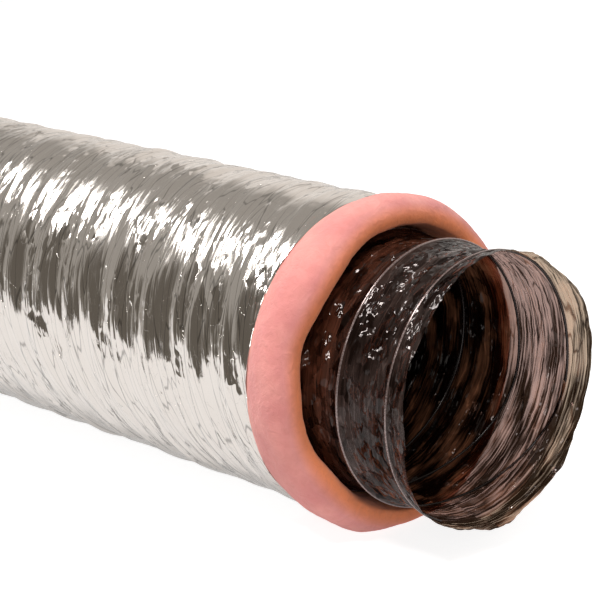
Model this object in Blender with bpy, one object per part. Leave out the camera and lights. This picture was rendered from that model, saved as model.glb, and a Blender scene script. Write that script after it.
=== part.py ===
"""Insulated flexible air duct: a smoked film core with a spring-wire helix, a fibreglass
blanket and a metallised jacket, lying on its side with its cut mouth towards +X.

Metres, +Z up. The origin is on the floor, under the middle of the duct's length.
Every layer is one long piece on the real duct. It is divided along its length here, so that
the duct can bend, the core can slide in its sleeve and its mouth can be pushed back.
"""

import math

import bmesh
import bpy
from mathutils import Matrix, Vector

# The duct fits an 8-inch (203 mm) round collar.
CORE_BORE_R = 0.1012
INNER_PLY = 0.0010
OUTER_PLY = 0.0008
WIRE_R = 0.0008
WIRE_HELIX_R = 0.1035
WIRE_PITCH = 0.0484
LAYER_GAP = 0.0005
INSULATION_INNER_R = 0.1060
JACKET_OUTER_R = 0.1261
JACKET_WALL = 0.0008
JACKET_GAP = 0.0004
FLATTENED = 0.0050
SIDES = 24

# Stations along the duct, counted from the jacket's front edge towards the mouth.
REAR_CUT = -0.948
SIDE_BEND = (-0.680, -0.520)
UPRIGHT_BEND = (-0.400, -0.240)
SLACK_END = -0.090
PLEAT = (0.0825, 0.1125)
RING = 0.1218
TAIL = 0.1245
RIM = 0.1437
RIM_R = 0.1065
INSULATION_REAR = REAR_CUT - 0.004
JACKET_REAR = REAR_CUT - 0.001

SECTION_GAP = 0.0004
STEP_SHARE = 0.3
STEP_CENTRE = math.radians(-60.0)
FLAT_TURNS = 1.8
BLEND_TURNS = 1.5

BULGE = (
    (0.012, 0.1278),
    (0.024, 0.1290),
    (0.034, 0.1262),
    (0.041, 0.1200),
    (0.042, 0.1140),
    (0.036, 0.1088),
    (0.022, INSULATION_INNER_R),
)

AXIS_HEIGHT = JACKET_OUTER_R - FLATTENED
X_OFFSET = -(RIM + INSULATION_REAR) / 2
INNER_PLY_R = CORE_BORE_R + INNER_PLY
OUTER_PLY_R = WIRE_HELIX_R + WIRE_R + LAYER_GAP
JACKET_INNER_R = JACKET_OUTER_R - JACKET_WALL
INSULATION_OUTER_R = JACKET_INNER_R - JACKET_GAP


def clear_scene():
    for obj in list(bpy.data.objects):
        bpy.data.objects.remove(obj, do_unlink=True)


def material(name, colour, roughness, metallic=0.0, alpha=1.0):
    made = bpy.data.materials.new(name)
    made.use_nodes = True
    made.diffuse_color = (*colour, alpha)
    shader = made.node_tree.nodes["Principled BSDF"]
    shader.inputs["Base Color"].default_value = (*colour, 1.0)
    shader.inputs["Roughness"].default_value = roughness
    shader.inputs["Metallic"].default_value = metallic
    shader.inputs["Alpha"].default_value = alpha
    return made


def smoothstep(value):
    value = min(max(value, 0.0), 1.0)
    return value * value * (3.0 - 2.0 * value)


def squashed_height(radius, height):
    """The blanket and its jacket are pressed flat where the duct rests on the floor."""
    share = (radius - INSULATION_INNER_R) / (JACKET_OUTER_R - INSULATION_INNER_R)
    lowest = AXIS_HEIGHT - radius + FLATTENED * max(share, 0.0)
    return max(height, lowest, 0.0)


def turned_shell(name, profile, finish, squashed=False):
    """A closed profile of (station, radius) points turned about the duct's axis."""
    shape = bmesh.new()
    points = [shape.verts.new((s + X_OFFSET, 0.0, AXIS_HEIGHT - r)) for s, r in profile]
    edges = [shape.edges.new((a, b)) for a, b in zip(points, points[1:] + points[:1])]
    bmesh.ops.spin(
        shape,
        geom=points + edges,
        axis=(1.0, 0.0, 0.0),
        cent=(0.0, 0.0, AXIS_HEIGHT),
        dvec=(0.0, 0.0, 0.0),
        angle=math.tau,
        steps=SIDES,
        use_merge=True,
    )
    bmesh.ops.remove_doubles(shape, verts=shape.verts[:], dist=0.00001)
    bmesh.ops.recalc_face_normals(shape, faces=shape.faces[:])
    if squashed:
        for vert in shape.verts:
            radius = math.hypot(vert.co.y, vert.co.z - AXIS_HEIGHT)
            vert.co.z = squashed_height(radius, vert.co.z)
    mesh = bpy.data.meshes.new(name)
    shape.to_mesh(mesh)
    shape.free()
    return placed(name, mesh, finish)


def placed(name, data, finish):
    data.materials.append(finish)
    obj = bpy.data.objects.new(name, data)
    bpy.context.scene.collection.objects.link(obj)
    if obj.type == "MESH":
        data.shade_smooth()
        data.set_sharp_from_angle(angle=math.radians(40.0))
    return obj


def tube_profile(start, end, inner, outer):
    return ((start, inner), (end, inner), (end, outer), (start, outer))


def wire_station(turns):
    """Where the helix lies along the duct, this many turns back from its cut end.

    The last turns are drawn square to the cut and step back under the duct. Further in,
    the wire is an even helix.
    """
    step = math.floor(turns) + smoothstep((turns % 1.0 - 1.0 + STEP_SHARE) / STEP_SHARE)
    even = turns - 0.5 + STEP_SHARE / 2
    share = smoothstep((turns - FLAT_TURNS) / BLEND_TURNS)
    return RING - WIRE_PITCH * (step + (even - step) * share)


def turns_at(station):
    """The first turn of the helix that lies as far back as this station."""
    low = 0.0
    high = (RING - station) / WIRE_PITCH + 2.0
    for _ in range(50):
        middle = (low + high) / 2
        if wire_station(middle) > station:
            low = middle
        else:
            high = middle
    return high


def side_radius(turns):
    """The wire keeps to the flat sides of the plies, whose corners lie on WIRE_HELIX_R."""
    half_side = math.pi / SIDES
    from_middle = (turns * SIDES % 1.0 - 0.5) * 2 * half_side
    return WIRE_HELIX_R * math.cos(half_side) / math.cos(from_middle)


def helix_wire(name, start, end, finish):
    """Wire between two stations, with a point at every corner of the plies."""
    trim = SECTION_GAP / (math.tau * WIRE_HELIX_R)
    first = turns_at(end) + trim
    last = turns_at(start) - trim
    corners = range(math.floor(first * SIDES) + 1, math.ceil(last * SIDES))
    turns = [first, *(corner / SIDES for corner in corners), last]
    curve = bpy.data.curves.new(name, "CURVE")
    curve.dimensions = "3D"
    curve.bevel_depth = WIRE_R
    curve.bevel_resolution = 0
    curve.use_fill_caps = True
    spline = curve.splines.new("POLY")
    spline.points.add(len(turns) - 1)
    first_corner = round((STEP_CENTRE / math.tau - STEP_SHARE / 2) * SIDES)
    for point, turn in zip(spline.points, turns):
        angle = (first_corner / SIDES - turn) * math.tau
        y = side_radius(turn) * math.cos(angle)
        z = side_radius(turn) * math.sin(angle) + AXIS_HEIGHT
        point.co = (wire_station(turn) + X_OFFSET, y, z, 1.0)
    return placed(name, curve, finish)


def sleeve_section(part, start, end, finishes):
    """The jacket and the blanket under it, between two stations."""
    jacket = tube_profile(start, end, JACKET_INNER_R, JACKET_OUTER_R)
    blanket = tube_profile(start, end, INSULATION_INNER_R, INSULATION_OUTER_R)
    return [
        turned_shell(f"jacket_{part}", jacket, finishes["jacket"], squashed=True),
        turned_shell(f"insulation_{part}", blanket, finishes["insulation"], squashed=True),
    ]


def rear_sleeve(start, end, finishes):
    """At the cut end the blanket stands a little past the jacket and the core."""
    jacket = tube_profile(JACKET_REAR, end, JACKET_INNER_R, JACKET_OUTER_R)
    blanket = tube_profile(start, end, INSULATION_INNER_R, INSULATION_OUTER_R)
    return [
        turned_shell("jacket_rear", jacket, finishes["jacket"], squashed=True),
        turned_shell("insulation_rear", blanket, finishes["insulation"], squashed=True),
    ]


def front_sleeve(start, finishes):
    """The blanket swells out of the jacket's cut edge and rolls back onto the core."""
    jacket = tube_profile(start, 0.0, JACKET_INNER_R, JACKET_OUTER_R)
    neck = (0.0, INSULATION_OUTER_R)
    blanket = (
        (start, INSULATION_INNER_R),
        (start, INSULATION_OUTER_R),
        neck,
        *BULGE,
    )
    return [
        turned_shell("jacket_front", jacket, finishes["jacket"], squashed=True),
        turned_shell("insulation_front", blanket, finishes["insulation"], squashed=True),
    ]


def core_section(part, start, end, finishes):
    """Both plies of the core and the wire laminated between them."""
    outer = tube_profile(start, end, OUTER_PLY_R, OUTER_PLY_R + OUTER_PLY)
    inner = tube_profile(start, end, CORE_BORE_R, INNER_PLY_R)
    return [
        turned_shell(f"core_outer_ply_{part}", outer, finishes["core film"]),
        turned_shell(f"core_inner_ply_{part}", inner, finishes["core film"]),
        helix_wire(f"helix_wire_{part}", start, end, finishes["wire"]),
    ]


def flared_profile(start, inner, outer):
    """The loose tail of film past the last turn of wire opens out to the cut rim."""
    flare = RIM_R - WIRE_HELIX_R
    return (
        (start, inner),
        (TAIL, inner),
        (RIM, inner + flare),
        (RIM, outer + flare),
        (TAIL, outer),
        (start, outer),
    )


def mouth_section(start, finishes):
    outer = flared_profile(start, OUTER_PLY_R, OUTER_PLY_R + OUTER_PLY)
    inner = flared_profile(start, CORE_BORE_R, INNER_PLY_R)
    return [
        turned_shell("core_outer_ply_mouth", outer, finishes["core film"]),
        turned_shell("core_inner_ply_mouth", inner, finishes["core film"]),
        helix_wire("helix_wire_mouth", start, TAIL, finishes["wire"]),
    ]


def joint_axis(name, station, parent, pieces):
    """An empty on a joint's axis, with the pieces that move about or along it."""
    empty = bpy.data.objects.new(name, None)
    empty.empty_display_size = 0.05
    bpy.context.scene.collection.objects.link(empty)
    place = Vector((station + X_OFFSET, 0.0, AXIS_HEIGHT))
    start = Vector() if parent is None else Vector(parent["place"])
    empty.parent = parent
    empty.location = place - start
    empty["place"] = place
    for piece in pieces:
        piece.parent = empty
        piece.matrix_parent_inverse = Matrix.Translation(-place)
    return empty


def middle_of(zone):
    return sum(zone) / 2


def build():
    clear_scene()
    finishes = {
        "jacket": material("Metallised film", (0.72, 0.70, 0.67), 0.22, metallic=1.0),
        "insulation": material("Pink fibreglass", (0.86, 0.40, 0.35), 0.95),
        "core film": material("Smoked film", (0.06, 0.035, 0.03), 0.15, alpha=0.75),
        "wire": material("Spring steel", (0.45, 0.43, 0.42), 0.35, metallic=1.0),
    }
    rear = rear_sleeve(INSULATION_REAR, SIDE_BEND[0], finishes)
    rear += core_section("rear", REAR_CUT, SIDE_BEND[0] - SECTION_GAP, finishes)
    for part, zone in (("side_bend", SIDE_BEND), ("upright_bend", UPRIGHT_BEND)):
        sleeve_section(part, zone[0] + SECTION_GAP, zone[1] - SECTION_GAP, finishes)
        core_section(part, zone[0], zone[1] - SECTION_GAP, finishes)
    middle = sleeve_section("middle", SIDE_BEND[1], UPRIGHT_BEND[0], finishes)
    middle += core_section("middle", SIDE_BEND[1], UPRIGHT_BEND[0] - SECTION_GAP, finishes)
    front = front_sleeve(UPRIGHT_BEND[1], finishes)
    core_section("slack", UPRIGHT_BEND[1], SLACK_END - SECTION_GAP, finishes)
    core = core_section("front", SLACK_END, PLEAT[0] - SECTION_GAP, finishes)
    core_section("pleat", PLEAT[0], PLEAT[1] - SECTION_GAP, finishes)
    mouth = mouth_section(PLEAT[1], finishes)
    side = joint_axis("side_bend_axis", middle_of(SIDE_BEND), None, middle)
    upright = joint_axis("upright_bend_axis", middle_of(UPRIGHT_BEND), side, front)
    sliding = joint_axis("core_slide_axis", SLACK_END, upright, core)
    joint_axis("mouth_press_axis", RING, sliding, mouth)


build()
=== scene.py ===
"""Dresses a length of insulated flexible air duct.

The duct lies along X on a pale floor, with its bared core towards +X. From the outside in it
has a crinkled metallised jacket, a blanket of pink glass wool and a core of smoked film on a
wire helix. Each layer is one surface that is divided only where it crosses a second joint.
"""

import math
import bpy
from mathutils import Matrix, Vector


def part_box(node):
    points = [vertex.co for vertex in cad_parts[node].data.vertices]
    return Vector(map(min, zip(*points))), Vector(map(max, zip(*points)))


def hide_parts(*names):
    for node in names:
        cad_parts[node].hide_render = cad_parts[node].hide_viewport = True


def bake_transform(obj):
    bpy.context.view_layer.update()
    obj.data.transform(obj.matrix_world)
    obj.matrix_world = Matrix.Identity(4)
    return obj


bl_info = {
    "name": "Insulated Flexible Duct",
    "version": (1, 0, 0),
    "blender": (4, 5, 0),
    "location": "3D View > Sidebar > Duct",
    "description": "Builds the film, wool and wire of an insulated flexible duct",
    "category": "Object",
}

import bpy
import numpy as np
from bpy.props import FloatProperty, FloatVectorProperty, IntProperty, PointerProperty
from mathutils import Matrix, Vector

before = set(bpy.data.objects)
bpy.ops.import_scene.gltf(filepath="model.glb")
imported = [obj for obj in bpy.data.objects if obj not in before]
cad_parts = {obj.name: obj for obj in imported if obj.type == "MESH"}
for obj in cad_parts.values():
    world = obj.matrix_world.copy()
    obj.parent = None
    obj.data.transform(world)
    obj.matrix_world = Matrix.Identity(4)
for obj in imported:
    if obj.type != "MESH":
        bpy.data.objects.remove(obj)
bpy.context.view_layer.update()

# ------------------------ places, from the frame


def reach(node, axis=0):
    """The lowest and highest place of a part along an axis."""
    low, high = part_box(node)
    return low[axis], high[axis]


def across(node):
    low, high = reach(node, 1)
    return (high - low) / 2


JACKET_R = across("jacket_rear")
CORE_R = across("core_outer_ply_rear")
WOOL_CLEARANCE = 0.0004
BLANKET_INNER_R = CORE_R + WOOL_CLEARANCE
AXIS_Z = sum(reach("core_outer_ply_rear", 2)) / 2
SIDE_BEND = reach("jacket_side_bend")
UPRIGHT_BEND = reach("jacket_upright_bend")
JACKET_REAR = reach("jacket_rear")[0]
JACKET_EDGE = reach("jacket_front")[1]
BLANKET_REAR = reach("insulation_rear")[0]
CORE_REAR = reach("core_outer_ply_rear")[0]
RIM = reach("core_outer_ply_mouth")[1]
WIRE_HALF = 0.0008
HELIX_R = across("helix_wire_rear") - WIRE_HALF
RING = reach("helix_wire_mouth")[1] - WIRE_HALF
FILM_OVER_WIRE = CORE_R - across("helix_wire_rear")
RIM_R = across("core_outer_ply_mouth") - FILM_OVER_WIRE - WIRE_HALF
BETWEEN_BENDS = (SIDE_BEND[1] + UPRIGHT_BEND[0]) / 2


def cross_joint(piece):
    """Bakes a piece's transform into its mesh."""
    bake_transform(piece)


# ------------------------ settings


def number(name, description, default, unit="NONE"):
    return FloatProperty(name=name, description=description, default=default, unit=unit)


def metres(name, description, default):
    return number(name, description, default, unit="LENGTH")


def tint(description, default):
    return FloatVectorProperty(
        name="Colour", description=description, subtype="COLOR", default=default
    )


class JacketSettings(bpy.types.PropertyGroup):
    colour: tint("Tint of the metallised film", (0.70, 0.655, 0.615))
    fold_height: metres("Fold height", "Height of the long folds round the duct", 0.0042)
    fold_width: metres("Fold width", "Distance between the long folds", 0.017)
    columns: IntProperty(name="Columns", description="Points round the jacket", default=288)


class BlanketSettings(bpy.types.PropertyGroup):
    colour: tint("Dye of the glass wool", (0.67, 0.248, 0.240))
    swell: metres("Swell", "How far the wool stands out of the cut jacket", 0.0016)


class CoreSettings(bpy.types.PropertyGroup):
    colour: tint("Smoke of the core film", (0.68, 0.53, 0.40))
    sag: metres("Sag", "How far the film draws in between two turns of wire", 0.0028)


class WireSettings(bpy.types.PropertyGroup):
    radius: metres("Radius", "Radius of the wire with the film drawn over it", 0.0011)
    pitch: metres("Pitch", "Distance between two turns", 0.0484)


class StageSettings(bpy.types.PropertyGroup):
    bearing: number("Bearing", "Direction in which the camera looks, from +X", 135.5)
    dip: number("Dip", "How far the camera looks down", 15.07)
    distance: metres("Distance", "From the camera to the jacket's front edge", 1.560)
    lens: number("Lens", "Focal length in millimetres", 119.25)


# ------------------------ node helpers


class Net:
    """Adds nodes to a tree and joins them, so that a tree reads like a formula."""

    def __init__(self, tree):
        self.tree = tree

    def put(self, socket, value):
        if isinstance(value, bpy.types.Node):
            value = value.outputs[0]
        if isinstance(value, bpy.types.NodeSocket):
            self.tree.links.new(value, socket)
        else:
            socket.default_value = value

    def add(self, kind, inputs=None, **settings):
        node = self.tree.nodes.new(kind)
        for name, value in settings.items():
            setattr(node, name, value)
        for name, value in (inputs or {}).items():
            self.put(node.inputs[name], value)
        return node

    def math(self, operation, *values):
        inputs = dict(enumerate(values))
        return self.add("ShaderNodeMath", inputs, operation=operation).outputs[0]

    def vector(self, operation, *values):
        inputs = dict(enumerate(values))
        return self.add("ShaderNodeVectorMath", inputs, operation=operation)

    def join(self, x, y, z=0.0):
        return self.add("ShaderNodeCombineXYZ", {"X": x, "Y": y, "Z": z}).outputs[0]

    def split(self, vector):
        return self.add("ShaderNodeSeparateXYZ", {"Vector": vector}).outputs

    def noise(self, vector, scale=1.0, detail=2.0, roughness=0.5, distortion=0.0):
        inputs = {
            "Vector": vector,
            "Scale": scale,
            "Detail": detail,
            "Roughness": roughness,
            "Distortion": distortion,
        }
        return self.add("ShaderNodeTexNoise", inputs).outputs[0]

    def bent(self, vector, amount):
        """A flat place pushed about by noise, so that what is drawn on it isn't straight."""
        noise = self.math("MULTIPLY", self.noise(vector, detail=1.0), amount)
        return self.vector("ADD", vector, self.join(noise, noise))

    def facets(self, vector):
        """Flat facets that meet in sharp folds, as in crumpled foil."""
        inputs = {"Vector": self.bent(vector, 0.7), "Scale": 1.0}
        node = self.add("ShaderNodeTexVoronoi", inputs, feature="DISTANCE_TO_EDGE")
        return node.outputs["Distance"]

    def tilted(self, vector, width, length, slope):
        """Flat facets that each tilt their own way: their height and a random share."""
        bent = self.bent(vector, 0.8)
        cell = self.add("ShaderNodeTexVoronoi", {"Vector": bent, "Scale": 1.0})
        away = self.vector("SUBTRACT", bent, cell.outputs["Position"])
        away = self.vector("MULTIPLY", away, self.join(width, length))
        lean = self.vector("SUBTRACT", cell.outputs["Color"], (0.5, 0.5, 0.5))
        height = self.vector("DOT_PRODUCT", away, lean).outputs["Value"]
        height = self.math("MULTIPLY", height, slope)
        return self.math("MULTIPLY", height, 2.0), self.split(cell.outputs["Color"])[2]

    def ramp(self, value, low, high, start=0.0, end=1.0):
        """Value moved from low..high to start..end with soft shoulders."""
        inputs = {
            "Value": value,
            "From Min": low,
            "From Max": high,
            "To Min": start,
            "To Max": end,
        }
        node = self.add("ShaderNodeMapRange", inputs, interpolation_type="SMOOTHSTEP")
        return node.outputs[0]

    def mix_colour(self, share, first, second):
        node = self.add("ShaderNodeMix", {"Factor": share}, data_type="RGBA")
        self.put(node.inputs[6], first)
        self.put(node.inputs[7], second)
        return node.outputs[2]

    def bump(self, height, strength=1.0):
        inputs = {"Height": height, "Distance": 1.0, "Strength": strength}
        return self.add("ShaderNodeBump", inputs)

    def carried(self, name):
        """A value that the mesh carries at each of its points."""
        if self.tree.type == "GEOMETRY":
            inputs = {"Name": name}
            node = self.add("GeometryNodeInputNamedAttribute", inputs, data_type="FLOAT")
            return node.outputs[0]
        return self.add("ShaderNodeAttribute", attribute_name=name).outputs["Fac"]

    def outward(self, axis_height):
        """The direction that points straight out of the duct."""
        place = self.split(self.add("GeometryNodeInputPosition"))
        up = self.math("SUBTRACT", place[2], axis_height)
        return self.vector("NORMALIZE", self.join(0.0, place[1], up))

    def moved(self, geometry, direction, height):
        """Geometry with its points moved by a height in a direction."""
        offset = self.vector("SCALE", direction)
        self.put(offset.inputs["Scale"], height)
        return self.add("GeometryNodeSetPosition", {"Geometry": geometry, "Offset": offset})


def group_tree(name, kind, inputs, outputs):
    """An empty node group with sockets of the given names, kinds and defaults."""
    tree = bpy.data.node_groups.new(name, kind)
    for direction, sockets in (("INPUT", inputs), ("OUTPUT", outputs)):
        for socket_name, socket_kind, default in sockets:
            socket = tree.interface.new_socket(
                name=socket_name, in_out=direction, socket_type=socket_kind
            )
            if default is not None:
                socket.default_value = default
    net = Net(tree)
    return net, net.add("NodeGroupInput").outputs, net.add("NodeGroupOutput").inputs


FLOAT = "NodeSocketFloat"
VECTOR = "NodeSocketVector"
GEOMETRY = "NodeSocketGeometry"
MATERIAL = "NodeSocketMaterial"
# The cover at which film starts to be crumpled, and at which it is fully crumpled.
PATCH_EDGE = (0.95, 1.10)


# ------------------------ geometry node trees


def geometry_tree(name, values):
    """An empty geometry tree that takes a mesh, these values and a material."""
    inputs = [("Geometry", GEOMETRY, None)]
    inputs += [(value_name, FLOAT, default) for value_name, default in values.items()]
    inputs += [("Material", MATERIAL, None)]
    return group_tree(name, "GeometryNodeTree", inputs, [("Geometry", GEOMETRY, None)])


def dressed(net, geometry, given, out):
    """Ends a geometry tree: makes its geometry real and gives it its material."""
    real = net.add("GeometryNodeRealizeInstances", {"Geometry": geometry})
    inputs = {"Geometry": real, "Material": given["Material"]}
    net.put(out["Geometry"], net.add("GeometryNodeSetMaterial", inputs))
    return net.tree


def crinkle_tree():
    """Folds and crumples a round surface of film.

    The surface carries how far each point lies along and around the duct. Broad folds run
    round it at a slight slant, and patches of it are crumpled into flat facets.
    """
    values = {
        "Fold Height": 0.001,
        "Fold Width": 0.02,
        "Fold Length": 0.12,
        "Slant": 0.15,
        "Crumple Height": 0.0004,
        "Crumple Width": 0.009,
        "Crumple Length": 0.020,
        "Cover": 0.5,
        "Axis Height": 0.0,
        "Seed": 0.0,
    }
    net, given, out = geometry_tree("Crinkled film", values)
    around = net.carried("around")
    slanted = net.math("MULTIPLY_ADD", around, given["Slant"], net.carried("along"))

    def stretched(width, length, layer):
        x = net.math("DIVIDE", slanted, width)
        y = net.math("DIVIDE", around, length)
        return net.join(x, y, net.math("ADD", given["Seed"], layer))

    fold_size = (given["Fold Width"], given["Fold Length"])
    broad = net.noise(stretched(*fold_size, 0.0), detail=1.0)
    long_facets = net.facets(stretched(*fold_size, 7.0))
    crumples = net.facets(stretched(given["Crumple Width"], given["Crumple Length"], 3.0))
    cover = net.math("ADD", net.noise(stretched(0.05, 0.09, 19.0)), given["Cover"])
    patches = net.ramp(cover, *PATCH_EDGE)

    fold = net.math("MULTIPLY_ADD", broad, 1.6, net.math("MULTIPLY", long_facets, 0.5))
    fold = net.math("MULTIPLY", net.math("SUBTRACT", fold, 0.95), given["Fold Height"])
    crumple = net.math("MULTIPLY", net.math("SUBTRACT", crumples, 0.2), patches)
    crumple = net.math("MULTIPLY", crumple, given["Crumple Height"])
    height = net.math("MULTIPLY", net.math("ADD", fold, crumple), net.carried("crinkle"))
    outward = net.outward(given["Axis Height"])
    return dressed(net, net.moved(given["Geometry"], outward, height), given, out)


def wool_tree():
    """Swells a blanket of wool into soft lumps, most where it is free of its jacket."""
    net, given, out = geometry_tree("Swollen wool", {"Swell": 0.002, "Lump Size": 0.03})
    position = net.add("GeometryNodeInputPosition")
    scale = net.math("DIVIDE", 1.0, given["Lump Size"])
    lumps = net.noise(position, scale=scale, detail=1.0)
    tufts = net.noise(position, scale=net.math("MULTIPLY", scale, 7.0), detail=3.0)
    height = net.math("MULTIPLY_ADD", tufts, 0.28, net.math("SUBTRACT", lumps, 0.5))
    height = net.math("MULTIPLY", height, net.math("MULTIPLY", given["Swell"], 2.0))
    height = net.math("MULTIPLY", height, net.carried("free"))
    normal = net.add("GeometryNodeInputNormal")
    return dressed(net, net.moved(given["Geometry"], normal, height), given, out)


def wire_tree():
    """Draws round wire along a path and marks which side of it faces out of the duct."""
    net, given, out = geometry_tree("Drawn wire", {"Radius": 0.001, "Axis Height": 0.0})
    path = net.add("GeometryNodeMeshToCurve", {"Mesh": given["Geometry"]})
    round_section = {"Resolution": 8, "Radius": given["Radius"]}
    section = net.add("GeometryNodeCurvePrimitiveCircle", round_section)
    swept = {"Curve": path, "Profile Curve": section, "Fill Caps": True}
    drawn = net.add("GeometryNodeCurveToMesh", swept)
    normal = net.add("GeometryNodeInputNormal")
    facing = net.vector("DOT_PRODUCT", net.outward(given["Axis Height"]), normal)
    marked = net.add(
        "GeometryNodeStoreNamedAttribute",
        {"Geometry": drawn, "Name": "outward", "Value": facing.outputs["Value"]},
        data_type="FLOAT",
    )
    smooth = net.add("GeometryNodeSetShadeSmooth", {"Geometry": marked})
    return dressed(net, smooth, given, out)


def cached_tree(maker):
    name = maker.__name__
    for tree in bpy.data.node_groups:
        if tree.get("maker") == name:
            return tree
    tree = maker()
    tree["maker"] = name
    return tree


def shaped_by(obj, tree, values):
    """Runs a geometry tree on an object and leaves the result as its plain mesh."""
    modifier = obj.modifiers.new(tree.name, "NODES")
    modifier.node_group = tree
    for item in tree.interface.items_tree:
        if item.item_type == "SOCKET" and item.in_out == "INPUT" and item.name in values:
            modifier[item.identifier] = values[item.name]
    graph = bpy.context.evaluated_depsgraph_get()
    graph.update()
    mesh = bpy.data.meshes.new_from_object(obj.evaluated_get(graph), depsgraph=graph)
    obj.modifiers.clear()
    raw = obj.data
    obj.data = mesh
    mesh.name = obj.name
    bpy.data.meshes.remove(raw)
    return obj


# ------------------------ surfaces


def add_object(name, data):
    obj = bpy.data.objects.new(name, data)
    bpy.context.scene.collection.objects.link(obj)
    return obj


def surface(name, place, uv, values, closed_rows=False):
    """A grid of points that closes on itself round the duct.

    place has rows, columns and XYZ; uv has one more column, where the sheet's edges meet.
    """
    rows, columns = place.shape[:2]
    index = np.arange(rows * columns).reshape(rows, columns)
    across_index = np.roll(index, -1, axis=1)
    last = rows if closed_rows else rows - 1
    following = np.roll(index, -1, axis=0)[:last]
    following_across = np.roll(across_index, -1, axis=0)[:last]
    faces = np.stack(
        [index[:last], following, following_across, across_index[:last]], axis=-1
    ).reshape(-1, 4)
    mesh = bpy.data.meshes.new(name)
    mesh.from_pydata(place.reshape(-1, 3).tolist(), [], faces.tolist())
    uv_next = np.roll(uv, -1, axis=0)[:last]
    corners = np.stack(
        [uv[:last, :-1], uv_next[:, :-1], uv_next[:, 1:], uv[:last, 1:]], axis=2
    )
    layer = mesh.uv_layers.new(name="UVMap")
    layer.data.foreach_set("uv", corners.astype(np.float32).ravel())
    for attribute, data in values.items():
        made = mesh.attributes.new(attribute, "FLOAT", "POINT")
        made.data.foreach_set("value", data.astype(np.float32).ravel())
    mesh.shade_smooth()
    return add_object(name, mesh)


def turned(stations, radii, angles):
    """Points at these stations and radii, at angles counted from the underside."""
    x = stations + 0 * radii
    y = -radii * np.sin(angles)
    z = AXIS_Z - radii * np.cos(angles)
    return np.stack([x, y, z], axis=-1)


def wrapped_uv(stations, angles, radius):
    """A round sheet's own flat coordinates in metres: along the duct and round it."""
    along = np.concatenate([stations, stations[:, :1]], axis=1)
    around = np.append(angles, math.tau) * radius
    return np.stack(np.broadcast_arrays(along, around), axis=-1)


def round_angles(columns):
    return np.linspace(0.0, math.tau, columns, endpoint=False)


def spaced(start, end, step):
    return np.linspace(start, end, max(2, round((end - start) / step) + 1))


def smoothstep(value):
    value = np.clip(value, 0.0, 1.0)
    return value * value * (3.0 - 2.0 * value)


def settled(height, softness=0.0018):
    """Heights that come to rest on the floor and don't pass through it."""
    return 0.5 * (height + np.sqrt(height * height + softness * softness))


def settle(obj):
    """Presses the underside of a soft piece flat on the floor."""
    mesh = obj.data
    place = np.empty(len(mesh.vertices) * 3)
    mesh.vertices.foreach_get("co", place)
    place = place.reshape(-1, 3)
    place[:, 2] = settled(place[:, 2])
    mesh.vertices.foreach_set("co", place.ravel())
    mesh.update()


def flow(angles, harmonics, seed):
    """A smooth random line round the duct, from -1 to 1."""
    draw = np.random.default_rng(seed)
    total = np.zeros_like(angles)
    for harmonic in harmonics:
        phase = draw.uniform(0.0, math.tau)
        total = total + draw.uniform(0.5, 1.0) * np.sin(harmonic * angles + phase)
    return total / len(harmonics)


def jagged(angles, corners, seed):
    """A random line round the duct made of straight stretches, from -1 to 1."""
    draw = np.random.default_rng(seed)
    places = (np.arange(corners) + draw.uniform(-0.35, 0.35, corners)) * math.tau / corners
    heights = draw.uniform(-1.0, 1.0, corners)
    return np.interp(angles, places, heights, period=math.tau)


# ------------------------ materials


def new_material(name):
    """An empty material: its net and the socket for its surface."""
    material = bpy.data.materials.new(name)
    material.use_nodes = True
    material.node_tree.nodes.clear()
    net = Net(material.node_tree)
    return net, net.add("ShaderNodeOutputMaterial").inputs["Surface"]


FOLD_SHARES = ("Facets", "Streaks", "Haze")


def film_wrinkles():
    """Creases of thin film: long ones round the duct, crumples between and fine lines."""
    values = {
        "Slant": 0.15,
        "Crease Width": 0.010,
        "Crease Length": 0.06,
        "Crease Slope": 0.10,
        "Crumple Width": 0.005,
        "Crumple Length": 0.009,
        "Crumple Slope": 0.15,
        "Cover": 0.5,
        "Line Width": 0.002,
        "Line Length": 0.05,
        "Line Slope": 0.05,
    }
    inputs = [("Vector", VECTOR, None)]
    inputs += [(name, FLOAT, default) for name, default in values.items()]
    outputs = [(name, FLOAT, None) for name in ("Height", "Crease Distance", *FOLD_SHARES)]
    net, given, out = group_tree("Film wrinkles", "ShaderNodeTree", inputs, outputs)
    place = net.split(given["Vector"])
    slanted = net.math("MULTIPLY_ADD", place[1], given["Slant"], place[0])

    def stretched(width, length, layer):
        x = net.math("DIVIDE", slanted, width)
        y = net.math("DIVIDE", place[1], length)
        return net.join(x, y, layer)

    def raised(distance, width, slope):
        return net.math("MULTIPLY", distance, net.math("MULTIPLY", width, slope))

    creases = net.facets(stretched(given["Crease Width"], given["Crease Length"], 0.0))
    size = (given["Crumple Width"], given["Crumple Length"])
    crumpled, shares = net.tilted(stretched(*size, 2.0), *size, given["Crumple Slope"])
    cover = net.math("ADD", net.noise(stretched(0.03, 0.05, 4.0)), given["Cover"])
    patches = net.ramp(cover, *PATCH_EDGE)
    line_size = (given["Line Width"], given["Line Length"])
    lines = net.noise(stretched(*line_size, 6.0), detail=2.0)
    streaks = net.noise(stretched(*line_size, 5.0), detail=4.0)
    haze = net.noise(stretched(0.014, 0.050, 8.0), detail=2.0)
    height = raised(creases, given["Crease Width"], given["Crease Slope"])
    height = net.math("MULTIPLY_ADD", crumpled, patches, height)
    fine = raised(lines, given["Line Width"], given["Line Slope"])
    net.put(out["Height"], net.math("ADD", height, fine))
    net.put(out["Crease Distance"], creases)
    for name, share in zip(FOLD_SHARES, (shares, streaks, haze)):
        net.put(out[name], share)
    return net.tree


JACKET_SLANT = 0.22
CORE_SLANT = 0.05
CREASE_SHADE = 0.55


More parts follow.
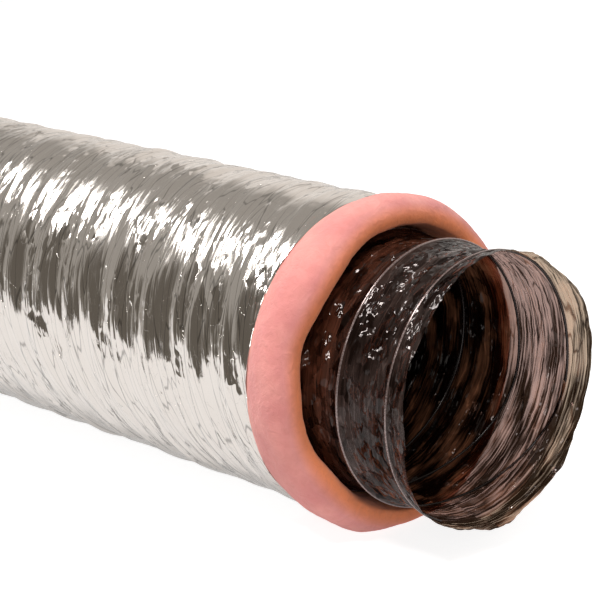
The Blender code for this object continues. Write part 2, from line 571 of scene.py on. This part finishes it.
def wrinkles_on(net, **values):
    """Places the film wrinkles in a material, on the sheet's own flat coordinates."""
    group = net.add("ShaderNodeGroup", node_tree=cached_tree(film_wrinkles))
    net.put(group.inputs["Vector"], net.add("ShaderNodeUVMap", uv_map="UVMap"))
    for name, value in values.items():
        net.put(group.inputs[name.replace("_", " ").title()], value)
    return group.outputs


def jacket_material(settings):
    """Bright metallised film, darker along its creases."""
    net, out = new_material("Metallised film")
    folds = wrinkles_on(
        net,
        slant=JACKET_SLANT,
        crease_width=0.0085,
        crease_length=0.085,
        crease_slope=0.10,
        crumple_width=0.0060,
        crumple_length=0.017,
        crumple_slope=0.13,
        cover=0.50,
        line_width=0.0017,
        line_length=0.060,
        line_slope=0.09,
    )
    colour = net.mix_colour(
        net.ramp(folds["Crease Distance"], 0.0, 0.03),
        (*(c * CREASE_SHADE for c in settings.colour), 1.0),
        (*settings.colour, 1.0),
    )
    shader = {
        "Base Color": colour,
        "Metallic": 1.0,
        "Roughness": net.ramp(folds["Streaks"], 0.3, 0.7, 0.07, 0.19),
        "Normal": net.bump(folds["Height"]),
    }
    net.put(out, net.add("ShaderNodeBsdfPrincipled", shader))


# The wool's cloudy tone, a deeper orange painted as shade towards the hole, where the wool
# lies in shadow and light glows through it, and painted shade for the hollows of its tufts.
WOOL_CLOUD = (0.75, 0.31, 0.285, 1.0)
WOOL_SHADOW_ORANGE = (0.95, 0.29, 0.12, 1.0)
WOOL_SHADE = (0.45, 0.12, 0.09, 1.0)


def wool_material(settings):
    """Matt glass wool: a soft pink nap, with a deeper orange painted as shade towards the hole
    and painted shade in the hollows of its tufts.
    """
    net, out = new_material("Pink glass wool")
    place = net.add("ShaderNodeTexCoord").outputs["Object"]
    clouds = net.noise(place, scale=38.0, detail=3.0)
    fibres = net.noise(place, scale=900.0, detail=4.0, roughness=0.7)
    tufts = net.noise(place, scale=150.0, detail=4.0, roughness=0.65, distortion=0.6)
    pink = net.mix_colour(net.ramp(clouds, 0.3, 0.7), (*settings.colour, 1.0), WOOL_CLOUD)
    # Painted shade: a deeper orange towards the hole, where the wool lies in shadow and light
    # glows through it.
    colour = net.mix_colour(net.ramp(net.carried("depth"), -0.1, 0.58), pink, WOOL_SHADOW_ORANGE)
    colour = net.mix_colour(net.ramp(tufts, 0.30, 0.62, 0.86, 1.0), WOOL_SHADE, colour)
    height = net.math("MULTIPLY", fibres, 0.0005)
    height = net.math("MULTIPLY_ADD", tufts, 0.0022, height)
    shader = {
        "Base Color": colour,
        "Roughness": 0.95,
        "Specular IOR Level": 0.15,
        "Sheen Weight": 0.15,
        "Sheen Roughness": 0.6,
        "Normal": net.bump(height, 0.6),
    }
    net.put(out, net.add("ShaderNodeBsdfPrincipled", shader))


# What light the smoked film lets through, where it is thin and where it is dense.
THIN_IN_SLEEVE = (0.035, 0.016, 0.006, 1.0)
THIN_BARED = (0.52, 0.36, 0.32, 1.0)
DENSE_IN_SLEEVE = (0.010, 0.004, 0.001, 1.0)
DENSE_BARED = (0.030, 0.016, 0.010, 1.0)
DENSE_TAIL = (0.032, 0.019, 0.010, 1.0)
OPAQUE = (0.0, 0.0, 0.0, 1.0)
# The colour of its surface, from dark smoke to amber in random streaks and facets. The amber
# is reddened by a painted reflection of the pink wool by the hole, lifted by painted light
# where it lies in the sleeve and on its inner face, and paler with painted floor light on its
# bared underside.
SMOKE = (0.008, 0.003, 0.002, 1.0)
PAINTED_WOOL_REFLECTION = (0.110, 0.036, 0.020, 1.0)
AMBER_BARED = (0.040, 0.024, 0.020, 1.0)
PAINTED_SLEEVE_LIGHT = (0.15, 0.054, 0.020, 1.0)
PAINTED_FLOOR_LIGHT = (0.095, 0.064, 0.058, 1.0)
PAINTED_INNER_LIGHT = (0.44, 0.19, 0.10, 1.0)
GLINT_TINT = (1.0, 0.88, 0.84, 1.0)


def core_material(settings):
    """Glossy smoked film that lets brown light through, darker along its wrinkles."""
    net, out = new_material("Smoked film")
    flat = net.split(net.add("ShaderNodeUVMap", uv_map="UVMap"))
    along = flat[0]
    inside = net.ramp(along, JACKET_EDGE - 0.02, JACKET_EDGE + 0.02, 1.0, 0.0)
    bared = net.ramp(along, JACKET_EDGE + 0.045, JACKET_EDGE + 0.085)
    tail = net.ramp(along, RING - 0.003, RING + 0.004)
    underneath = net.math("COSINE", net.math("DIVIDE", flat[1], HELIX_R))
    behind = net.add("ShaderNodeNewGeometry").outputs["Backfacing"]
    folds = wrinkles_on(
        net,
        slant=CORE_SLANT,
        crease_width=0.0065,
        crease_length=0.070,
        crease_slope=net.math("MULTIPLY_ADD", behind, 0.16, 0.12),
        crumple_width=0.0075,
        crumple_length=0.0110,
        crumple_slope=0.40,
        cover=net.math("MULTIPLY_ADD", inside, -0.35, 0.85),
        line_width=0.0017,
        line_length=0.070,
        line_slope=0.06,
    )

    clearness = net.math("MULTIPLY_ADD", folds["Facets"], 0.03, folds["Streaks"])
    clearness = net.math("MULTIPLY_ADD", folds["Haze"], 0.6, clearness)
    clearness = net.math("MULTIPLY_ADD", underneath, -0.10, clearness)
    clearness = net.ramp(clearness, 0.69, 0.93)
    thin = net.mix_colour(bared, THIN_IN_SLEEVE, THIN_BARED)
    thin = net.mix_colour(tail, thin, (*settings.colour, 1.0))
    dense = net.mix_colour(bared, DENSE_IN_SLEEVE, DENSE_BARED)
    dense = net.mix_colour(tail, dense, DENSE_TAIL)
    outside = net.ramp(underneath, -0.45, 0.55, 0.20, 0.75)
    clear = net.mix_colour(
        net.math("MAXIMUM", behind, outside), OPAQUE, net.mix_colour(clearness, dense, thin)
    )
    through = net.add("ShaderNodeBsdfTransparent", {"Color": clear})

    # Painted light on the film's amber: floor light on its lower bared side, a reflection of
    # the pink wool by the hole, a glow where it lies in the sleeve and light on its inner
    # face.
    lower = net.math("MULTIPLY", bared, net.ramp(underneath, -0.35, 0.45))
    amber_with_painted_light = net.mix_colour(bared, PAINTED_WOOL_REFLECTION, AMBER_BARED)
    amber_with_painted_light = net.mix_colour(inside, amber_with_painted_light, PAINTED_SLEEVE_LIGHT)
    amber_with_painted_light = net.mix_colour(lower, amber_with_painted_light, PAINTED_FLOOR_LIGHT)
    amber_with_painted_light = net.mix_colour(behind, amber_with_painted_light, PAINTED_INNER_LIGHT)
    facets = net.math("MULTIPLY", folds["Facets"], net.math("SUBTRACT", 1.0, behind))
    glow = net.math("MULTIPLY_ADD", facets, 0.22, folds["Haze"])
    glow = net.math("MULTIPLY_ADD", folds["Streaks"], 0.45, glow)
    height = net.math("MULTIPLY", folds["Height"], net.carried("crinkle"))
    shader = {
        "Base Color": net.mix_colour(net.ramp(glow, 0.66, 0.96), SMOKE, amber_with_painted_light),
        "Roughness": 0.05,
        "IOR": 1.5,
        "Specular Tint": GLINT_TINT,
        "Normal": net.bump(height),
    }
    film = net.add("ShaderNodeBsdfPrincipled", shader)
    body = net.ramp(folds["Crease Distance"], 0.0, 0.05, 0.90, 0.50)
    net.put(out, net.add("ShaderNodeMixShader", {0: body, 1: through, 2: film}))


WIRE_SHADED = (0.014, 0.007, 0.005, 1.0)
WIRE_DULL = (0.16, 0.11, 0.10, 1.0)
WIRE_BRIGHT = (0.30, 0.23, 0.22, 1.0)


def wire_material():
    """Drawn spring steel under its skin of smoked film, dark on the inside of the duct."""
    net, out = new_material("Filmed wire")
    place = net.add("ShaderNodeTexCoord").outputs["Object"]
    specks = net.noise(place, scale=600.0, detail=3.0)
    bare = net.mix_colour(specks, WIRE_DULL, WIRE_BRIGHT)
    outward = net.ramp(net.carried("outward"), -0.1, 0.4)
    shader = {
        "Base Color": net.mix_colour(outward, WIRE_SHADED, bare),
        "Metallic": 0.6,
        "Roughness": net.ramp(specks, 0.3, 0.7, 0.18, 0.32),
        "Coat Weight": 0.6,
        "Coat Roughness": 0.08,
    }
    net.put(out, net.add("ShaderNodeBsdfPrincipled", shader))


# ------------------------ the wire's path

STEP_SHARE = 0.3
STEP_CENTRE = math.radians(-60.0)
FLAT_TURNS = 1.8
BLEND_TURNS = 1.5


def wire_station(turns, pitch):
    """Where the wire lies this many turns back from its cut end.

    Its last turns are square to the cut and step back underneath. Further in it is an even
    helix.
    """
    step = np.floor(turns) + smoothstep((turns % 1.0 - 1.0 + STEP_SHARE) / STEP_SHARE)
    even = turns - 0.5 + STEP_SHARE / 2
    share = smoothstep((turns - FLAT_TURNS) / BLEND_TURNS)
    return RING - pitch * (step + (even - step) * share)


def wire_angle(turns):
    """The wire's angle from the underside, where the tubes' seams are."""
    first = STEP_CENTRE - STEP_SHARE / 2 * math.tau
    return -(first - turns * math.tau) - math.pi / 2


def bays(stations, angles, pitch):
    """How far each point of the core lies across its bay between two turns of wire.

    The first result runs from 0 at the turn behind to 1 at the turn in front; past the last
    turn it is how far the point lies beyond it, in pitches, plus one.
    """
    first = -(wire_angle(0.0)) % math.tau
    share = ((angles + first) % math.tau) / math.tau
    count = int((RING - CORE_REAR) / pitch) + 4
    turns = share[None, :] + np.arange(-1, count)[:, None]
    lines = wire_station(np.maximum(turns, 0.0), pitch)
    result = np.zeros((len(stations), len(angles)))
    for column in range(len(angles)):
        known = np.unique(np.round(lines[:, column], 6))
        behind = np.searchsorted(known, stations, side="right") - 1
        inside = np.clip(behind, 0, len(known) - 2)
        low, high = known[inside], known[inside + 1]
        result[:, column] = (stations - low) / (high - low)
        past = stations > known[-1]
        result[past, column] = 1.0 + (stations[past] - known[-1]) / pitch
    return result


# ------------------------ the pieces


def film_sheet(name, stations, radii, angles, flat_radius, crinkle, folds, material):
    """A round sheet of film, folded and crumpled. flat_radius sets its flat width."""
    uv = wrapped_uv(stations, angles, flat_radius)
    carried = {"along": stations, "around": uv[:, :-1, 1], "crinkle": crinkle}
    obj = surface(name, turned(stations, radii, angles[None, :]), uv, carried)
    dressing = {"Axis Height": AXIS_Z, "Material": bpy.data.materials[material]}
    return shaped_by(obj, cached_tree(crinkle_tree), {**folds, **dressing})


JACKET_INSET = 0.0012
JACKET_SWELL = 0.0007
# The hem under the jacket's cut edge: how far back and how far in each of its rows lies.
HEM = ((0.0004, 0.0009), (0.0060, 0.0022))
# How far that edge wanders, in long stretches and in short ones.
RAGGED_LONG = 0.0011
RAGGED_SHORT = 0.0006


def jacket_radii(stations, angles, pitch):
    """The jacket swells a little between the turns of the helix under it."""
    swell = np.sin((stations[:, None] / pitch + angles[None, :] / math.tau) * math.tau)
    return JACKET_R - JACKET_INSET + JACKET_SWELL * swell


def build_jacket(name, start, end, step, nodes, settings, pitch, cut):
    """One stretch of jacket. Its cut edge, row 0 or -1, is turned in over the wool."""
    angles = round_angles(settings.columns)
    stations = spaced(start, end, step)
    radii = jacket_radii(stations, angles, pitch)
    stations = np.repeat(stations[:, None], len(angles), axis=1)
    edge, outward = (start, -1.0) if cut == 0 else (end, 1.0)
    ragged = RAGGED_LONG * jagged(angles, 23, seed=5)
    ragged = ragged + RAGGED_SHORT * jagged(angles, 57, seed=6)
    stations = stations + np.where(np.abs(stations - edge) < 0.01, ragged[None, :], 0.0)
    hem_stations = np.stack([stations[cut] - outward * back for back, inset in HEM])
    hem_radii = np.stack([radii[cut] - inset for back, inset in HEM])
    if cut == 0:
        stations = np.concatenate([hem_stations[::-1], stations])
        radii = np.concatenate([hem_radii[::-1], radii])
    else:
        stations = np.concatenate([stations, hem_stations])
        radii = np.concatenate([radii, hem_radii])
    folds = {
        "Fold Height": settings.fold_height,
        "Fold Width": settings.fold_width,
        "Fold Length": 0.11,
        "Slant": JACKET_SLANT,
        "Crumple Height": 0.0016,
        "Crumple Width": 0.013,
        "Crumple Length": 0.026,
        "Cover": 0.5,
        "Seed": 3.0,
    }
    crinkle = np.ones_like(stations)
    film = "Metallised film"
    obj = film_sheet(name, stations, radii, angles, JACKET_R, crinkle, folds, film)
    settle(obj)
    cross_joint(obj)
    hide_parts(*nodes)
    return obj


# The sleeve's stretches, of jacket and of wool: the joint that each crosses and the parts
# that it stands for.
SLEEVE_STRETCHES = (
    ("rear", "side_bend", ("rear", "side_bend")),
    ("front", "upright_bend", ("middle", "upright_bend", "front")),
)


class DUCT_OT_jacket(bpy.types.Operator):
    """Wraps the duct in its crinkled metallised jacket"""

    bl_idname = "duct.jacket"
    bl_label = "Wrap Jacket"

    def execute(self, context):
        settings = context.scene.duct_jacket
        pitch = context.scene.duct_wire.pitch
        jacket_material(settings)
        for name, joint, parts in SLEEVE_STRETCHES:
            if name == "front":
                start, end, step, cut = BETWEEN_BENDS, JACKET_EDGE, 0.0024, -1
            else:
                start, end, step, cut = JACKET_REAR, BETWEEN_BENDS, 0.0030, 0
            piece = f"jacket_film_{name}"
            nodes = [f"jacket_{part}" for part in parts]
            build_jacket(piece, start, end, step, nodes, settings, pitch, cut)
        return {"FINISHED"}


# The wool's outline where it swells out of the cut jacket, as (station from the cut,
# radius), and how far its face leans forward round the duct, from the underside.
SWELLING = (
    (-0.004, 0.1215),
    (0.002, 0.1252),
    (0.012, 0.1290),
    (0.022, 0.1306),
    (0.030, 0.1306),
    (0.037, 0.1284),
    (0.0425, 0.1238),
    (0.0455, 0.1180),
    (0.0450, 0.1122),
    (0.0420, 0.1080),
    (0.0370, 0.1058),
    (0.0300, 0.1048),
    (0.0200, 0.1044),
)
LEAN = (
    (0, 0.018),
    (30, 0.018),
    (55, 0.013),
    (70, 0.004),
    (87, 0.001),
    (107, -0.007),
    (125, 0.003),
    (139, 0.002),
    (156, -0.004),
    (190, -0.003),
    (260, 0.002),
    (300, 0.008),
)


def rounded(values, times):
    """A closed line of values with its corners rounded off."""
    for _ in range(times):
        values = (np.roll(values, 1) + 2 * values + np.roll(values, -1)) / 4
    return values


def lean_at(angles):
    places, amounts = zip(*LEAN)
    line = np.interp(np.degrees(angles), places, amounts, period=360.0)
    return rounded(line, 30)


# The jacket's folds need this much room over the wool.
FOLD_ROOM = 0.0060
# How far the free wool slumps outwards low down, how far its mouth stands open and how
# deep the waves in its face are.
SLUMP = 0.0026
OPENED = 0.0026
WAVES = 0.0016
BLANKET_COLUMNS = 240


def blanket_outline(start, end, free_front):
    """The blanket's outline as (station, radius, how free the wool is) round its wall.

    Either its front is free of the jacket and swells, or its rear is and is cut flat.
    """
    outer = JACKET_R - FOLD_ROOM
    inner = BLANKET_INNER_R
    points = [(x, outer, 0.0) for x in spaced(start + 0.002, end - 0.001, 0.006)]
    if free_front:
        knots = np.array(SWELLING)
        steps = np.linspace(0, len(knots) - 1, 45)
        line = [np.interp(steps, np.arange(len(knots)), knots[:, k]) for k in (0, 1)]
        line = [np.convolve(np.pad(side, 3, "edge"), np.ones(7) / 7, "valid") for side in line]
        points += [(JACKET_EDGE + s, r, min(1.0, s / 0.006)) for s, r in zip(*line)]
    else:
        points += [(end, outer - 0.001, 0.0), (end, inner + 0.001, 0.0)]
    points += [(x, inner, 0.0) for x in spaced(start + 0.002, end - 0.001, 0.008)[::-1]]
    rows, rear_free = (2, 0.0) if free_front else (10, 1.0)
    for share in np.linspace(0.06, 0.94, rows):
        points.append((start, inner + (outer - inner) * share, rear_free))
    return np.array(points)


def build_blanket(name, start, end, nodes, settings, free_front):
    """One stretch of blanket. A free front swells, leans and opens round the core."""
    outline = blanket_outline(start, end, free_front)
    angles = round_angles(BLANKET_COLUMNS)
    stations, radii, free = outline.T[:, :, None] * np.ones(len(angles))
    if free_front:
        share = smoothstep((stations - JACKET_EDGE - 0.004) / 0.030)
        low = smoothstep(0.5 + 0.5 * np.cos(angles - 0.6))
        radii = radii + SLUMP * (share * low[None, :]) * (radii > 0.114)
        opened = OPENED * (1.0 + jagged(angles, 9, seed=12)[None, :])
        radii = radii + opened * share * smoothstep((0.112 - radii) / 0.006)
        waves = WAVES * jagged(angles, 19, seed=3)
        stations = stations + share * (lean_at(angles) + rounded(waves, 4))[None, :]
    # How deep each point lies in the wall; the wool's material paints a deeper orange shade by
    # it.
    depth = np.clip((JACKET_R - radii) / (JACKET_R - BLANKET_INNER_R), 0.0, 1.0)
    depth = depth * (1.0 if free_front else 0.5)
    place = turned(stations, radii, angles[None, :])
    uv = wrapped_uv(stations, angles, JACKET_R)
    obj = surface(name, place, uv, {"free": free, "depth": depth}, closed_rows=True)
    swelling = {
        "Swell": settings.swell,
        "Lump Size": 0.030,
        "Material": bpy.data.materials["Pink glass wool"],
    }
    shaped_by(obj, cached_tree(wool_tree), swelling)
    settle(obj)
    cross_joint(obj)
    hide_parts(*nodes)
    return obj


class DUCT_OT_blanket(bpy.types.Operator):
    """Fills the sleeve with its blanket of pink glass wool"""

    bl_idname = "duct.blanket"
    bl_label = "Fill Blanket"

    def execute(self, context):
        settings = context.scene.duct_blanket
        wool_material(settings)
        for name, joint, parts in SLEEVE_STRETCHES:
            nodes = [f"insulation_{part}" for part in parts]
            free_front = name == "front"
            start = BETWEEN_BENDS if free_front else BLANKET_REAR
            end = JACKET_EDGE if free_front else BETWEEN_BENDS
            piece = f"blanket_{name}"
            build_blanket(piece, start, end, nodes, settings, free_front)
        return {"FINISHED"}


# How high lumps and corners stand in the core's film, and its ribs over the wire.
LUMP_IN_SLEEVE = 0.0012
LUMP_MORE_BARED = 0.0010
RIB_HEIGHT = 0.0008
RIB_WIDTH = 0.0016
TAIL_CORNERS = 0.0034
# How far the torn rim wanders, and how far it is torn back on the whole.
TORN = 0.0034
TORN_BACK = 0.0020
CORE_COLUMNS = 360
CORE_FOLDS = {
    "Fold Height": 0.0014,
    "Fold Width": 0.010,
    "Fold Length": 0.05,
    "Slant": CORE_SLANT,
    "Crumple Height": 0.0030,
    "Crumple Width": 0.010,
    "Crumple Length": 0.015,
    "Cover": 1.0,
    "Seed": 17.0,
}


def core_shape(stations, angles, settings, pitch):
    """The film's radii, and how far each of its points lies from the wire.

    The film rests on the wire, draws in between two turns and flares at the mouth.
    """
    across_bay = bays(stations, angles, pitch)
    draw = np.sin(np.clip(across_bay, 0.0, 1.0) * math.pi)
    bared = smoothstep((stations - JACKET_EDGE + 0.01) / 0.03)[:, None]
    lumps = np.stack([flow(angles, (5, 9, 14), seed=20 + k) for k in range(4)])
    row = (stations - CORE_REAR)[:, None] / pitch
    lump = sum(
        lumps[k][None, :] * np.cos(row * (0.9 + 0.45 * k) + k) for k in range(4)
    ) / 2
    sag = -settings.sag * (0.6 + 0.4 * bared) * draw
    sag = sag + (LUMP_IN_SLEEVE + LUMP_MORE_BARED * bared) * lump * draw
    near_wire = np.minimum(np.abs(across_bay), np.abs(1.0 - across_bay)) * pitch
    rib = RIB_HEIGHT * np.exp(-((near_wire / RIB_WIDTH) ** 2))
    tail = np.clip((across_bay - 1.0) * pitch / (RIM - RING), 0.0, 1.2)
    flare = (RIM_R - HELIX_R) * tail
    corners = jagged(angles, 17, seed=31)[None, :]
    return HELIX_R + sag + rib + flare + TAIL_CORNERS * tail * corners, near_wire


def build_core(name, start, end, nodes, settings, pitch, torn):
    """One stretch of core film. The last one ends in a torn rim."""
    angles = round_angles(CORE_COLUMNS)
    even = spaced(start, end, 0.0013 if torn else 0.0030)
    radii, near_wire = core_shape(even, angles, settings, pitch)
    stations = np.repeat(even[:, None], len(angles), axis=1)
    if torn:
        tail = np.clip((stations - RING) / (RIM - RING), 0.0, 1.0)
        rim = jagged(angles, 17, seed=44) + 0.3 * jagged(angles, 41, seed=45)
        stations = stations + tail * (TORN * rim[None, :] - TORN_BACK)
    crinkle = 0.15 + 0.85 * smoothstep(near_wire / 0.008)
    film = "Smoked film"
    obj = film_sheet(name, stations, radii, angles, HELIX_R, crinkle, CORE_FOLDS, film)
    cross_joint(obj)
    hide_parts(*nodes)
    return obj


# The core's stretches: where each ends, the joint it crosses and the parts it stands for.
CORE_STRETCHES = (
    ("rear", BETWEEN_BENDS, "side_bend", ("rear", "side_bend")),
    ("middle", UPRIGHT_BEND[1], "upright_bend", ("middle", "upright_bend")),
    ("front", JACKET_EDGE, "core_slide", ("slack",)),
    ("mouth", RIM, "mouth_press", ("front", "pleat", "mouth")),
)


class DUCT_OT_core(bpy.types.Operator):
    """Winds the smoked film core"""

    bl_idname = "duct.core"
    bl_label = "Wind Core Film"

    def execute(self, context):
        settings = context.scene.duct_core
        pitch = context.scene.duct_wire.pitch
        core_material(settings)
        start = CORE_REAR
        for name, end, joint, parts in CORE_STRETCHES:
            nodes = [f"core_{ply}_ply_{part}" for part in parts for ply in ("outer", "inner")]
            piece = f"core_film_{name}"
            torn = name == "mouth"
            build_core(piece, start, end, nodes, settings, pitch, torn)
            start = end
        return {"FINISHED"}


POINTS_A_TURN = 96


def build_wire(name, start, end, nodes, settings):
    """The stretch of helix between two stations."""
    most = (RING - CORE_REAR) / settings.pitch + 1.0
    turns = np.arange(0.0, most, 1.0 / POINTS_A_TURN)
    stations = wire_station(turns, settings.pitch)
    kept = (stations >= start - 1e-6) & (stations <= end + 1e-6)
    turns, stations = turns[kept], stations[kept]
    place = turned(stations, np.full(len(turns), HELIX_R), wire_angle(turns))
    mesh = bpy.data.meshes.new(name)
    edges = [(i, i + 1) for i in range(len(turns) - 1)]
    mesh.from_pydata(place.tolist(), edges, [])
    obj = add_object(name, mesh)
    values = {
        "Radius": settings.radius,
        "Axis Height": AXIS_Z,
        "Material": bpy.data.materials["Filmed wire"],
    }
    shaped_by(obj, cached_tree(wire_tree), values)
    cross_joint(obj)
    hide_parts(*nodes)
    return obj


class DUCT_OT_wire(bpy.types.Operator):
    """Coils the spring wire that holds the core open"""

    bl_idname = "duct.wire"
    bl_label = "Coil Wire"

    def execute(self, context):
        settings = context.scene.duct_wire
        wire_material()
        start = CORE_REAR
        for name, end, joint, parts in CORE_STRETCHES:
            nodes = [f"helix_wire_{part}" for part in parts]
            build_wire(f"wire_{name}", start, end, nodes, settings)
            start = end
        return {"FINISHED"}


# ------------------------ stage


# Each light's place, size and brightness as seen. They all face the same spot.
LIGHTS = {
    "Key": ((-1.02, -0.50, 1.68), (0.85, 0.25), 18.0),
    "Key halo": ((-1.03, -0.51, 1.70), (1.3, 0.55), 1.4),
    "Overhead": ((0.10, -0.98, 1.82), (0.42, 0.36), 44.0),
    "Top": ((0.62, -0.70, 1.80), (0.32, 0.30), 42.0),
    "Fill": ((2.0, -1.9, 1.3), (0.6, 0.5), 10.0),
}
LIT_SPOT = (0.1, 0.0, 0.15)


def softbox(name, place, size, radiance):
    """A rectangular light with its brightness as seen."""
    light = bpy.data.lights.new(name, "AREA")
    light.shape = "RECTANGLE"
    light.size, light.size_y = size
    light.energy = radiance * math.pi * size[0] * size[1]
    lamp = add_object(name, light)
    lamp.location = place
    direction = Vector(LIT_SPOT) - Vector(place)
    lamp.rotation_euler = direction.to_track_quat("-Z", "Y").to_euler()


FLOOR_SIDES = (-2.6, 2.6, -0.62, 3.2)
FLOOR_COLOUR = (0.42, 0.42, 0.425, 1.0)
FLOOR_GLOW = 0.47
FLOOR_MORE_SEEN = 0.38


def floor():
    """A pale table top that ends a little in front of the duct."""
    left, right, front, rear = FLOOR_SIDES
    corners = [(left, front, 0.0), (right, front, 0.0), (right, rear, 0.0), (left, rear, 0.0)]
    mesh = bpy.data.meshes.new("floor")
    mesh.from_pydata(corners, [], [(0, 1, 2, 3)])
    net, out = new_material("White table")
    seen = net.add("ShaderNodeLightPath").outputs["Is Camera Ray"]
    glow = net.math("MULTIPLY_ADD", seen, FLOOR_MORE_SEEN, FLOOR_GLOW)
    shader = {
        "Base Color": FLOOR_COLOUR,
        "Roughness": 0.9,
        "Emission Color": WHITE,
        "Emission Strength": glow,
    }
    net.put(out, net.add("ShaderNodeBsdfPrincipled", shader))
    mesh.materials.append(bpy.data.materials["White table"])
    add_object("floor", mesh)


ROOM_DIM = (0.15, 0.135, 0.115, 1.0)
ROOM_NEAR = (0.42, 0.40, 0.37, 1.0)
ROOM_FAR = (0.92, 0.87, 0.82, 1.0)
WHITE = (1.0, 1.0, 1.0, 1.0)


def studio():
    """White behind the duct; to everything else, a dim room with a paler far wall."""
    world = bpy.data.worlds.new("Studio")
    world.use_nodes = True
    world.node_tree.nodes.clear()
    net = Net(world.node_tree)
    direction = net.split(net.add("ShaderNodeTexCoord").outputs["Generated"])
    far = net.ramp(direction[1], 0.46, 0.64)
    near = net.ramp(direction[1], -0.62, -0.48)
    dim = net.mix_colour(near, ROOM_DIM, ROOM_NEAR)
    room = net.mix_colour(far, dim, ROOM_FAR)
    lit = net.add("ShaderNodeBackground", {"Color": room})
    white = net.add("ShaderNodeBackground", {"Color": WHITE})
    seen = net.add("ShaderNodeLightPath").outputs["Is Camera Ray"]
    mixed = net.add("ShaderNodeMixShader", {0: seen, 1: lit, 2: white})
    out = net.add("ShaderNodeOutputWorld")
    net.put(out.inputs["Surface"], mixed)
    bpy.context.scene.world = world


# How far the camera aims beside and over the middle of the jacket's front edge.
AIM_RIGHT = -0.04885
AIM_UP = 0.04223


def camera(settings):
    """Looks down along the bared core from the mouth's side."""
    bearing, dip = math.radians(settings.bearing), math.radians(settings.dip)
    forward = Vector(
        (math.cos(dip) * math.cos(bearing), math.cos(dip) * math.sin(bearing), -math.sin(dip))
    )
    right = Vector((math.sin(bearing), -math.cos(bearing), 0.0))
    up = right.cross(forward)
    aim = Vector((JACKET_EDGE, 0.0, AXIS_Z)) + AIM_RIGHT * right + AIM_UP * up
    data = bpy.data.cameras.new("Camera")
    data.lens = settings.lens
    data.clip_start, data.clip_end = 0.05, 50.0
    eye = add_object("Camera", data)
    turn = Matrix((right, up, -forward)).transposed().to_4x4()
    eye.matrix_world = Matrix.Translation(aim - settings.distance * forward) @ turn
    bpy.context.scene.camera = eye


class DUCT_OT_stage(bpy.types.Operator):
    """Sets the floor, the lights and the camera"""

    bl_idname = "duct.stage"
    bl_label = "Set Stage"

    def execute(self, context):
        floor()
        studio()
        for name, (place, size, radiance) in LIGHTS.items():
            softbox(name, place, size, radiance)
        camera(context.scene.duct_stage)
        context.scene.view_settings.view_transform = "Standard"
        return {"FINISHED"}


class DUCT_PT_panel(bpy.types.Panel):
    bl_idname = "DUCT_PT_panel"
    bl_label = "Insulated Duct"
    bl_space_type = "VIEW_3D"
    bl_region_type = "UI"
    bl_category = "Duct"

    def draw(self, context):
        for operator in OPERATORS:
            self.layout.operator(operator.bl_idname)
        for name in SETTINGS:
            group = getattr(context.scene, name)
            box = self.layout.box()
            for prop in group.bl_rna.properties:
                if prop.identifier not in ("name", "rna_type"):
                    box.prop(group, prop.identifier)


OPERATORS = (DUCT_OT_stage, DUCT_OT_wire, DUCT_OT_core, DUCT_OT_blanket, DUCT_OT_jacket)
SETTINGS = {
    "duct_jacket": JacketSettings,
    "duct_blanket": BlanketSettings,
    "duct_core": CoreSettings,
    "duct_wire": WireSettings,
    "duct_stage": StageSettings,
}


def register():
    for group in (*SETTINGS.values(), *OPERATORS, DUCT_PT_panel):
        bpy.utils.register_class(group)
    for name, group in SETTINGS.items():
        setattr(bpy.types.Scene, name, PointerProperty(type=group))


def unregister():
    for name in SETTINGS:
        delattr(bpy.types.Scene, name)
    for group in (DUCT_PT_panel, *reversed(OPERATORS), *reversed(SETTINGS.values())):
        bpy.utils.unregister_class(group)


def main():
    register()
    for operator in ("stage", "wire", "core", "blanket", "jacket"):
        getattr(bpy.ops.duct, operator)()


if __name__ == "__main__":
    main()
